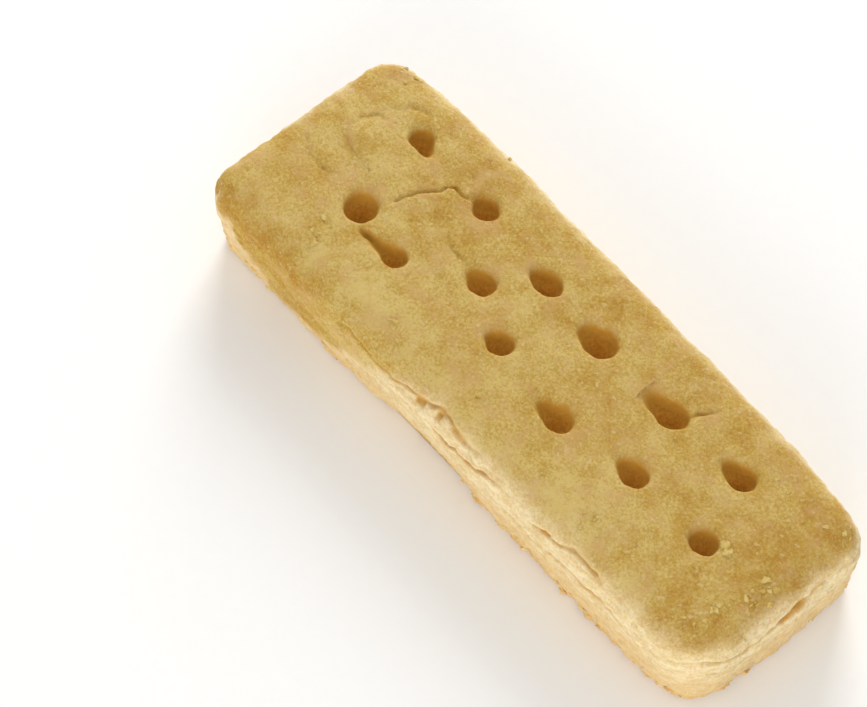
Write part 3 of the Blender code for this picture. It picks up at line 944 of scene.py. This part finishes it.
class SHORTBREAD_OT_bits(bpy.types.Operator):
    """Set broken bits of dough into the ragged foot of the side"""
    bl_idname = "shortbread.bits"
    bl_label = "Bits"

    def execute(self, context):
        settings = context.scene.shortbread_crumbs
        rng = np.random.default_rng(SEED + 1)

        def chance(points, normals):
            upright = smooth(0.6, 0.2, abs(normals[:, 2]))
            low = smooth(2.6 * MM, 0.8 * MM, points[:, 2]) * (points[:, 2] > 0.45 * MM)
            toasted = 0.25 + smooth(0, 8 * MM, points[:, 0]) * (points[:, 1] < -5 * MM)
            return upright * low * toasted

        places, outward, tangent = surface_spots(chance, settings.bits, rng)
        size = settings.bit_size * rng.lognormal(0, 0.35, (len(places), 1))
        sizes = size * np.array((1.3, 0.8, 0.8)) * rng.uniform(0.7, 1.2, (len(places), 3))
        points, faces = lumps(places - outward * size * 0.45, outward, tangent, sizes, SEED + 60)
        points[:, 2] = np.maximum(points[:, 2], 0.02 * MM)
        colours = context.scene.shortbread_colours
        material = crumb_material("browned_crumb", colours.grain, colours.foot)
        bits = mesh_object("bits", points, faces, {}, material, smooth_faces=False)
        place_piece(bits)
        return {"FINISHED"}


def area_light(name, place, aim, size, power):
    """A square soft light at a place, turned towards its aim."""
    data = bpy.data.lights.new(name, "AREA")
    data.size = size
    data.energy = power
    light = bpy.data.objects.new(name, data)
    light.location = place
    light.rotation_euler = (Vector(place) - Vector(aim)).to_track_quat("Z", "Y").to_euler()
    bpy.context.scene.collection.objects.link(light)


class SHORTBREAD_OT_studio(bpy.types.Operator):
    """Lay the floor, set the soft lights and the camera"""
    bl_idname = "shortbread.studio"
    bl_label = "Studio"

    def execute(self, context):
        settings = context.scene.shortbread_studio
        scene = context.scene
        scene.view_settings.view_transform = "Standard"
        line = np.linspace(-FLOOR_REACH, FLOOR_REACH, FLOOR_CELLS + 1)
        x, y = np.meshgrid(line, line, indexing="ij")
        points = np.stack([x, y, np.full_like(x, -FLOOR_GAP)], axis=-1).reshape(-1, 3)
        ids = np.arange(len(points)).reshape(x.shape)
        floor = mesh_object("floor", points, [grid_quads(ids)], {}, floor_material(settings.paper))
        floor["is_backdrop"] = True

        world = bpy.data.worlds.new("soft_room")
        world.use_nodes = True
        world.node_tree.nodes["Background"].inputs["Color"].default_value = (1, 1, 1, 1)
        world.node_tree.nodes["Background"].inputs["Strength"].default_value = settings.fill
        scene.world = world
        centre = (0.0, 0.0, THICKNESS / 2)
        for name, place, width, power in LIGHTS:
            area_light(name, place, centre, width, power)

        camera = bpy.data.objects.new("camera", bpy.data.cameras.new("camera"))
        camera.data.sensor_width = 36
        camera.data.lens = settings.lens
        camera.data.clip_start = 0.01
        turn, rise = settings.azimuth, settings.elevation
        back = Vector((sin(turn) * cos(rise), -cos(turn) * cos(rise), sin(rise)))
        camera.location = Vector(settings.aim) + back * settings.distance
        camera.rotation_euler = back.to_track_quat("Z", "Y").to_euler()
        scene.collection.objects.link(camera)
        scene.camera = camera
        return {"FINISHED"}


class SHORTBREAD_PT_panel(bpy.types.Panel):
    """Buttons and settings of the shortbread finger"""
    bl_idname = "SHORTBREAD_PT_panel"
    bl_label = "Shortbread Finger"
    bl_space_type = "VIEW_3D"
    bl_region_type = "UI"
    bl_category = "Shortbread"

    def draw(self, context):
        layout = self.layout
        for group, operators in (
            (context.scene.shortbread_colours, ("shortbread.finger",)),
            (context.scene.shortbread_crumbs, ("shortbread.crumbs", "shortbread.bits")),
            (context.scene.shortbread_studio, ("shortbread.studio",)),
        ):
            box = layout.box()
            for name in group.__annotations__:
                box.prop(group, name)
            for operator in operators:
                box.operator(operator)


GROUPS = {
    "shortbread_colours": ShortbreadColours,
    "shortbread_crumbs": ShortbreadCrumbs,
    "shortbread_studio": StudioSettings,
}
CLASSES = (
    *GROUPS.values(),
    SHORTBREAD_OT_finger,
    SHORTBREAD_OT_crumbs,
    SHORTBREAD_OT_bits,
    SHORTBREAD_OT_studio,
    SHORTBREAD_PT_panel,
)


def register():
    """Register the classes and hang the settings on the scene."""
    for cls in CLASSES:
        bpy.utils.register_class(cls)
    for name, group in GROUPS.items():
        setattr(bpy.types.Scene, name, PointerProperty(type=group))


def unregister():
    """Take the settings off the scene and unregister the classes."""
    for name in GROUPS:
        delattr(bpy.types.Scene, name)
    for cls in reversed(CLASSES):
        bpy.utils.unregister_class(cls)


def main():
    """Build every piece and the stage."""
    register()
    bpy.ops.shortbread.finger()
    bpy.ops.shortbread.crumbs()
    bpy.ops.shortbread.bits()
    bpy.ops.shortbread.studio()


if __name__ == "__main__":
    main()
